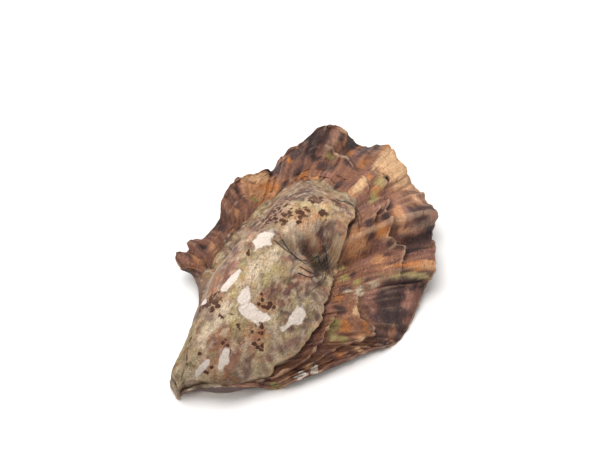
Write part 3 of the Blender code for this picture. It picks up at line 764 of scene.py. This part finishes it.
def inside_colour(x, y, reach, out, tone):
    """Nacre with a dark margin, the muscle's scar and the hinge."""
    fine_tone = 0.5 + 0.5 * mottle(x, y, 3, 61)
    colour = blend_of("nacre", "bone", 0.35 * tone + 0.2 * fine_tone)
    to_edge = np.maximum((out - 0.72) / 0.12, (reach - 0.86) / 0.04)
    colour = laid_over(colour, "plum", smooth(to_edge + 0.7 * mottle(x, y, 4, 70)))
    for name, *patch in INSIDE_PATCHES:
        near = nearness(*warped(x, y, 0.6, 71), patch)
        colour = laid_over(colour, name, smooth(near / INSIDE_SOFTNESS + 0.5))
    return colour


def paint_valve(x, y, spoke, reach, out, side):
    """The shell's colour at each point, before the fine patterns that the finish adds."""
    tone = 0.5 + 0.5 * mottle(x, y, 9, 60)
    body_colour = painted(blend_of("ash", "lichen", tone), BODY_PATCHES, x, y, 62)
    for name, size, most, seed in BODY_MOTTLES:
        body_colour = laid_over(body_colour, name, most * smooth(mottle(x, y, size, seed) * 1.6 - 0.1))
    inside, flange_colour = inside_colour(x, y, reach, out, tone), streaked(spoke, out)
    side = side[..., None]
    return np.where(side < 1, body_colour, np.where(side < 2, flange_colour, inside))


def furthest_in(x, y, patches, seed):
    """How far inside the nearest of the patches each point is, 1 in its middle and 0 on its outline."""
    x, y = warped(x, y, 0.8, seed)
    frayed = noises(x, y, [(0.2, 1.1, seed + 5), (0.15, 2.3, seed + 6)])
    return np.max([nearness(x, y, patch, 1.5) for patch in patches], axis=0) + frayed


def rust_cover(x, y):
    """How full of rust spots each point is."""
    wx, wy = warped(x, y, 0.5, 80)
    return np.max([fill * smooth(nearness(wx, wy, patch) / 0.8 + 0.6) for *patch, fill in RUST], axis=0)


def grid_piece(name, rings, columns):
    """A flat grid with a row of points for each ring, its seam and poles still open."""
    bpy.ops.object.select_all(action="DESELECT")
    bpy.ops.mesh.primitive_grid_add(x_subdivisions=rings - 1, y_subdivisions=columns - 1, size=1)
    piece = bpy.context.object
    piece.name = name
    return piece


def close_grid(piece, rings, columns):
    """Merges the first and last columns, and each pole's ring into one point."""
    number = np.arange(rings * columns)
    ring, column = number % rings, number // rings
    at_join = (column == 0) | (column == columns - 1) | (ring == 0) | (ring == rings - 1)
    bpy.ops.object.mode_set(mode="EDIT")
    bpy.ops.mesh.select_mode(type="VERT")
    bpy.ops.mesh.select_all(action="DESELECT")
    bpy.ops.object.mode_set(mode="OBJECT")
    piece.data.vertices.foreach_set("select", at_join)
    bpy.ops.object.mode_set(mode="EDIT")
    bpy.ops.mesh.remove_doubles(threshold=1e-7)
    bpy.ops.object.mode_set(mode="OBJECT")


ATTRIBUTE_KEYS = {"FLOAT": "value", "FLOAT_COLOR": "color", "FLOAT_VECTOR": "vector"}


def write_attribute(piece, name, kind, values):
    """Writes values, one row for each ring, on the points of a piece of columns."""
    layer = piece.data.attributes.new(name, kind, "POINT")
    in_order = np.swapaxes(values, 0, 1).astype(np.float32)
    layer.data.foreach_set(ATTRIBUTE_KEYS[kind], in_order.ravel())


def shaped(rings):
    """All the points of the valve in millimetres, worn, and kept inside the solid's box."""
    points = np.stack([rings.column_data(k) for k in "xyz"], axis=2)
    age, side = rings.column_data("age"), rings.column_data("side")
    worn = wear(points[:, :-1], age[:, :-1], side[:, :-1], rings.spoke[:-1])
    points = np.concatenate([worn, worn[:, :1]], axis=1)
    points[0], points[-1] = points[0].mean(axis=0), points[-1].mean(axis=0)
    points[..., :2] += BEAK
    low, high = (np.array(corner) / MM for corner in CAD_BOX)
    return np.clip(points, low, high)


def mark_looks(valve, rings, points):
    """Writes on the valve's points what its finish reads there."""
    x, y, age, side, reach, rim, gap = (
        rings.column_data(key) for key in ("x", "y", "age", "side", "reach", "rim", "gap")
    )
    spoke = np.broadcast_to(rings.spoke, age.shape)
    out = (age - BODY_AGE) / FLANGE_AGE
    colour = paint_valve(x, y, spoke, reach, out, side)
    around = 2 * math.pi * flow_of(spoke, out) / SPOKES
    grain = np.stack([age, GRAIN_RADIUS * np.cos(around), GRAIN_RADIUS * np.sin(around)], axis=2)
    bare = np.where(side < 1, furthest_in(x, y, WORN_BODY, 75), furthest_in(x, y, WORN_FLANGE, 75))
    alpha = np.ones_like(colour[..., :1])
    write_attribute(valve, "paint", "FLOAT_COLOR", np.concatenate([colour, alpha], axis=2))
    write_attribute(valve, "grain", "FLOAT_VECTOR", grain)
    # cavity sets the pale ridges and the painted shade in dips, gap sets the painted shadow under lips
    numbers = {
        "worn": np.where(side < 2, bare, NOT_WORN), "rust": np.where(side < 1, rust_cover(x, y), 0),
        "cavity": cavity(points), "side": side, "rim": rim, "gap": gap,
    }
    for name, values in numbers.items():
        write_attribute(valve, name, "FLOAT", values)


def make_valve():
    rings = Rings(spoke_positions())
    grow_top(rings)
    grow_edge(rings)
    grow_under(rings)
    points = shaped(rings)
    count = len(rings.rows)
    valve = grid_piece("weathered_valve", count, COLUMNS + 1)
    in_order = points.transpose(1, 0, 2).reshape(-1, 3) * MM
    valve.data.vertices.foreach_set("co", in_order.ravel())
    mark_looks(valve, rings, points)
    close_grid(valve, count, COLUMNS + 1)
    bpy.ops.object.shade_smooth_by_angle(angle=CREASE_ANGLE)
    return valve


class Tone:
    """A node's socket that can be used in sums, each of which adds a Math node."""

    def __init__(self, finish, socket):
        self.finish, self.socket = finish, socket

    def sum_with(self, operation, first, second):
        return self.finish.tone("ShaderNodeMath", {"operation": operation}, {0: first, 1: second})

    def __add__(self, other):
        return self.sum_with("ADD", self, other)

    def __sub__(self, other):
        return self.sum_with("SUBTRACT", self, other)

    def __rsub__(self, other):
        return self.sum_with("SUBTRACT", other, self)

    def __mul__(self, other):
        return self.sum_with("MULTIPLY", self, other)

    __radd__, __rmul__ = __add__, __mul__

    def limited(self):
        """The value kept between 0 and 1."""
        return self.finish.tone("ShaderNodeClamp", {}, {"Value": self})

    def above(self, level, softness):
        """0 below a level and 1 above it, with a soft step between."""
        return ((self - level) * (1 / softness) + 0.5).limited()


class Finish:
    """A material, with the few kinds of nodes that this shell's finishes are made of."""

    def __init__(self, name):
        self.material = bpy.data.materials.new(name)
        self.material.use_nodes = True
        self.tree = self.material.node_tree
        self.shader = self.tree.nodes["Principled BSDF"]

    def node(self, kind, settings, values):
        node = self.tree.nodes.new(kind)
        for key, value in settings.items():
            setattr(node, key, value)
        for key, value in values.items():
            self.feed(node.inputs[key], value)
        return node

    def feed(self, socket, value):
        if isinstance(value, Tone):
            self.tree.links.new(value.socket, socket)
        else:
            socket.default_value = value

    def tone(self, kind, settings, values, output=0):
        return Tone(self, self.node(kind, settings, values).outputs[output])

    def attribute(self, name, output="Fac"):
        return self.tone("ShaderNodeAttribute", {"attribute_name": name}, {}, output)

    def millimetres(self):
        """Where each point is on the piece, in millimetres."""
        return self.stretched(self.tone("ShaderNodeTexCoord", {}, {}, "Object"), (1 / MM, 1 / MM, 1 / MM))

    def stretched(self, vector, stretch):
        return self.tone("ShaderNodeVectorMath", {"operation": "MULTIPLY"}, {0: vector, 1: stretch})

    def shifted(self, vector, distance):
        settings = {"operation": "ADD"}
        return self.tone("ShaderNodeVectorMath", settings, {0: vector, 1: (distance, distance, distance)})

    def noise(self, vector, scale, detail=2.0, roughness=0.5):
        """Noise about 0, mostly between -1 and 1."""
        values = {"Vector": vector, "Scale": scale, "Detail": detail, "Roughness": roughness}
        return self.tone("ShaderNodeTexNoise", {}, values) * 4 - 2

    def brightened(self, colour, factor):
        return self.tone("ShaderNodeVectorMath", {"operation": "SCALE"}, {0: colour, "Scale": factor})

    def shine(self, colour, roughness):
        self.feed(self.shader.inputs["Base Color"], colour)
        self.feed(self.shader.inputs["Roughness"], roughness.limited())

    def mix(self, share, first, second, blend="MIX"):
        """The first colour, with a share of the second, which is a colour or a name in the palette."""
        if isinstance(second, str):
            second = colour_of(second)
        settings = {"data_type": "RGBA", "blend_type": blend}
        return self.tone("ShaderNodeMix", settings, {0: share, 6: first, 7: second}, 2)


def colour_of(name):
    return (*linear(name), 1)


# Patterns that follow growth: changes for each millimetre of age and of the way round, detail, roughness
GROWTH_PATTERNS = {
    "lines": (1.6, 0.16, 3, 0.6), "fine_lines": (4.5, 0.35, 2, 0.5),
    "streaks": (0.06, 0.5, 3, 0.65), "fine_streaks": (0.16, 1.9, 2, 0.5),
}
# Patterns that don't: changes in a millimetre, detail, roughness
PLAIN_PATTERNS = {
    "blotches": (0.28, 4, 0.6), "grit": (1.5, 3, 0.7), "fine_grit": (3.2, 2, 0.6), "chips": (0.6, 3, 0.6),
}
# Specks: colour, changes in a millimetre, shift of their pattern, level, softness, strength
SPECKS = [
    ("plum", 0.9, 0, 0.7, 0.4, 0.6), ("bone", 1.2, 31, 0.8, 0.4, 0.5), ("orange", 0.8, 77, 0.8, 0.5, 0.5),
]
SPECK_DETAIL, SPECK_ROUGHNESS = 3, 0.7
RUST_GRAINS = 0.75  # in a millimetre
# What darkens or brightens the paint: the shade and the glow of streaks, and painted shade in dips and
# painted shadow under lips
STREAK_SHADE, STREAK_GLOW, PAINTED_SHADE = (0.42, 0.33, 0.34, 1), (1.7, 1.4, 1.15, 1), (0.3, 0.22, 0.2, 1)
SATURATION, BRIGHTNESS = 1.13, 1.16
RELIEF_DEPTH = 0.4


class ShellFinish(Finish):
    """The valve's material. Its colour, roughness and relief share one set of patterns."""

    def __init__(self):
        super().__init__("weathered shell")
        self.spot = self.millimetres()
        grain = self.attribute("grain", "Vector")
        for name, (along, around, detail, roughness) in GROWTH_PATTERNS.items():
            pattern = self.noise(self.stretched(grain, (along, around, around)), 1, detail, roughness)
            setattr(self, name, pattern)
        for name, (scale, detail, roughness) in PLAIN_PATTERNS.items():
            setattr(self, name, self.noise(self.spot, scale, detail, roughness))
        side = self.attribute("side")
        self.on_layers = side.limited()
        self.on_body = 1 - self.on_layers
        self.inside = (side - 1).limited()
        self.outside = 1 - self.inside
        grains = self.tone("ShaderNodeTexVoronoi", {}, {"Vector": self.spot, "Scale": RUST_GRAINS})
        self.rust = self.attribute("rust")
        self.rusty = (self.rust * 0.86 - grains + self.grit * 0.12).above(0.26, 0.06)
        self.chipped = (self.attribute("worn") + self.chips * 0.18).above(0.16, 0.2)

    def streaked(self, colour):
        """Dark and warm streaks on the layers."""
        dark = (self.streaks * 0.8 + self.fine_streaks * 0.4 - 0.2).limited() * self.on_layers * self.outside
        colour = self.mix(dark * 0.6, colour, STREAK_SHADE, "MULTIPLY")
        warm = (self.fine_streaks * 0.5 - self.streaks * 0.7 - 0.3).limited() * self.on_layers * self.outside
        return self.mix(warm * 0.6, colour, STREAK_GLOW, "MULTIPLY")

    def grained(self, colour):
        """Fine light and dark grain, stronger on the body, then specks, then livelier colours."""
        grain_tone = (
            self.lines * (0.2 + self.on_body * 0.12) + self.fine_lines * 0.24
            + self.grit * (0.16 + self.on_body * 0.22) + self.fine_grit * (0.22 + self.on_body * 0.12)
            + self.fine_streaks * self.on_layers * 0.16
        )
        colour = self.brightened(colour, 1 - grain_tone * self.outside)
        for name, scale, shift, level, softness, strength in SPECKS:
            pattern = self.noise(self.shifted(self.spot, shift), scale, SPECK_DETAIL, SPECK_ROUGHNESS)
            specks = pattern.above(level, softness) * self.outside
            colour = self.mix(specks * strength, colour, name)
        vivid = {"Saturation": SATURATION, "Value": BRIGHTNESS, "Color": colour}
        return self.mix(self.outside, colour, self.tone("ShaderNodeHueSaturation", {}, vivid))

    def rusted(self, colour):
        haze = (self.rust * 1.1 + self.grit * 0.2 - 0.35).limited()
        colour = self.mix(haze * 0.35, colour, "orange")
        return self.mix(self.rusty * 0.95, colour, "rust")

    def chalked(self, colour):
        rosy = (self.grit * 0.3 + self.blotches * 0.15 - 0.06).limited()
        return self.mix(self.chipped, colour, self.mix(rosy, colour_of("chalk"), "rose"))

    def weathered_and_shaded(self, colour):
        """Pale rims and ridges, painted shade in dips and painted shadow under lips, and grey clouds inside.
        """
        sunken = self.attribute("cavity")
        pale_rim = (self.attribute("rim") * 1.2 + self.grit * 0.3 + self.blotches * 0.4 - 0.6).limited()
        colour = self.mix(pale_rim * self.outside * 0.5, colour, "cream")
        # Painted shade: darker where the point lies below its surroundings
        shade_in_dips = (sunken * 2.2 + self.grit * 0.08 - 0.05).limited() * self.outside
        colour = self.mix(shade_in_dips * 0.7, colour, PAINTED_SHADE, "MULTIPLY")
        ridges = (sunken * -2.5 - 0.2).limited() * self.outside
        colour = self.mix(ridges * 0.35, colour, "cream")
        # Painted shadow on the layers under each lip
        colour = self.mix(self.attribute("gap") * self.outside * 0.55, colour, PAINTED_SHADE, "MULTIPLY")
        return self.mix(self.inside * (self.blotches * 0.5).limited() * 0.2, colour, "ash")

    def relief(self):
        """Growth lines, grit and streaks, with the chips sunk and the rust raised."""
        layers = self.on_layers
        return (
            self.lines * 0.35 + self.fine_lines * 0.3 * (0.5 + layers) + self.fine_streaks * 0.25 * layers
            + self.grit * (0.3 + self.on_body * 0.25) + self.fine_grit * 0.25
            - self.chipped * 0.5 + self.rusty * 0.4
        ) * self.outside


def shell_finish():
    finish = ShellFinish()
    colour = finish.grained(finish.streaked(finish.attribute("paint", "Color")))
    colour = finish.weathered_and_shaded(finish.chalked(finish.rusted(colour)))
    silkier = finish.on_layers * finish.outside * 0.14 + finish.inside * 0.4
    rougher = finish.grit * 0.06 + finish.rusty * 0.1 + finish.chipped * 0.1
    finish.shine(colour, 0.72 - silkier + rougher)
    bump = {"Height": finish.relief(), "Distance": RELIEF_DEPTH * MM, "Strength": 1.0}
    finish.feed(finish.shader.inputs["Normal"], finish.tone("ShaderNodeBump", {}, bump))
    return finish.material


def along_route(route):
    """Points spaced evenly on a smooth curve through the route."""
    route = np.array(route, float)
    travelled = np.concatenate([[0], np.cumsum(np.linalg.norm(np.diff(route, axis=0), axis=1))])
    at = np.linspace(0, travelled[-1], int(travelled[-1] / THREAD_STEP) + 2)
    rows = np.column_stack([travelled, route])
    return np.column_stack([through(rows, 1, at), through(rows, 2, at)])


def laid_on(shell, points):
    """The points at rest on the shell: each as high as the surface, or as the thread strung over a dip."""
    heights = []
    for x, y in points + np.array(BEAK):
        hit, spot, _, _ = shell.ray_cast(Vector((x * MM, y * MM, 0.1)), Vector((0, 0, -1)))
        heights.append(spot.z / MM if hit else 0.0)
    heights = np.array(heights)
    strung = [
        max(heights[i], (heights[max(i - k, 0)] + heights[min(i + k, len(heights) - 1)]) / 2)
        for i in range(len(heights)) for k in [min(THREAD_SAG, i, len(heights) - 1 - i)]
    ]
    return np.column_stack([points + np.array(BEAK), np.array(strung) + THREAD_RADIUS])


def make_thread(shell, number, route):
    curve = bpy.data.curves.new("thread", "CURVE")
    curve.dimensions = "3D"
    curve.bevel_depth = THREAD_RADIUS * MM
    curve.bevel_resolution = 1
    curve.use_fill_caps = True
    points = laid_on(shell, along_route(route)) * MM
    spline = curve.splines.new("POLY")
    spline.points.add(len(points) - 1)
    for point, place_of_it, taper in zip(spline.points, points, np.linspace(1, 0.45, len(points))):
        point.co = (*place_of_it, 1)
        point.radius = taper
    thread = bpy.data.objects.new(f"thread_{number}", curve)
    bpy.context.collection.objects.link(thread)
    return thread


def make_weed(shell):
    """The dried threads, made as curves on the shell and joined into one mesh."""
    threads = [make_thread(shell, number, route) for number, route in enumerate(THREADS)]
    bpy.ops.object.select_all(action="DESELECT")
    for thread in threads:
        thread.select_set(True)
    bpy.context.view_layer.objects.active = threads[0]
    bpy.ops.object.convert(target="MESH")
    bpy.ops.object.join()
    weed = bpy.context.object
    weed.name = "dried_weed"
    bpy.ops.object.shade_smooth()
    return weed


def weed_finish():
    finish = Finish("dried weed")
    spot = finish.millimetres()
    brown = (finish.noise(spot, 0.5) * 0.5 + 0.3).limited()
    finish.shine(finish.mix(brown, colour_of("weed"), "night"), 0.55 + finish.noise(spot, 2) * 0.1)
    return finish.material


# The camera stands 45 degrees above the floor, and its lens and sensor are in millimetres
LOOK_AT = Vector((0.0168, 0.0109, 0))
CAMERA_TURN, CAMERA_RISE, CAMERA_DISTANCE = math.radians(32), math.radians(45), 0.515
LENS, SENSOR = 100, 36
# Warm light from all round, and a wide lamp behind the shell
SKY_COLOUR, SKY_STRENGTH = (1, 0.94, 0.89, 1), 0.575
LAMP_PLACE, LAMP_WIDTH, LAMP_POWER = (0.16, 0.40, 0.9), 1.3, 13
FLOOR_SIZE, FLOOR_COLOUR, FLOOR_ROUGHNESS = 6, (0.98, 0.98, 0.98, 1), 0.9


def make_camera():
    forward = Vector((
        math.cos(CAMERA_TURN) * math.cos(CAMERA_RISE), math.sin(CAMERA_TURN) * math.cos(CAMERA_RISE),
        -math.sin(CAMERA_RISE),
    ))
    bpy.ops.object.camera_add(location=LOOK_AT - forward * CAMERA_DISTANCE)
    camera = bpy.context.object
    camera.rotation_mode = "QUATERNION"
    camera.rotation_quaternion = forward.to_track_quat("-Z", "Y")
    camera.data.lens = LENS
    camera.data.sensor_width = SENSOR
    bpy.context.scene.camera = camera


def make_light():
    world = bpy.data.worlds.new("studio")
    bpy.context.scene.world = world
    world.use_nodes = True
    sky = world.node_tree.nodes["Background"]
    sky.inputs["Color"].default_value = SKY_COLOUR
    sky.inputs["Strength"].default_value = SKY_STRENGTH
    bpy.ops.object.light_add(type="AREA", location=LAMP_PLACE)
    light = bpy.context.object
    light.data.shape = "DISK"
    light.data.size = LAMP_WIDTH
    light.data.energy = LAMP_POWER
    light.rotation_mode = "QUATERNION"
    light.rotation_quaternion = (-light.location).to_track_quat("-Z", "Y")
    bpy.context.scene.view_settings.view_transform = "Standard"


def make_floor():
    bpy.ops.mesh.primitive_plane_add(size=FLOOR_SIZE)
    floor = bpy.context.object
    floor.name = "floor"
    material = bpy.data.materials.new("pale floor")
    material.use_nodes = True
    shader = material.node_tree.nodes["Principled BSDF"]
    shader.inputs["Base Color"].default_value = FLOOR_COLOUR
    shader.inputs["Roughness"].default_value = FLOOR_ROUGHNESS
    floor.data.materials.append(material)


valve = make_valve()
valve.data.materials.append(shell_finish())
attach(valve, "root")
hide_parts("valve")
weed = make_weed(valve)
weed.data.materials.append(weed_finish())
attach(weed, "root")
make_floor()
make_light()
make_camera()
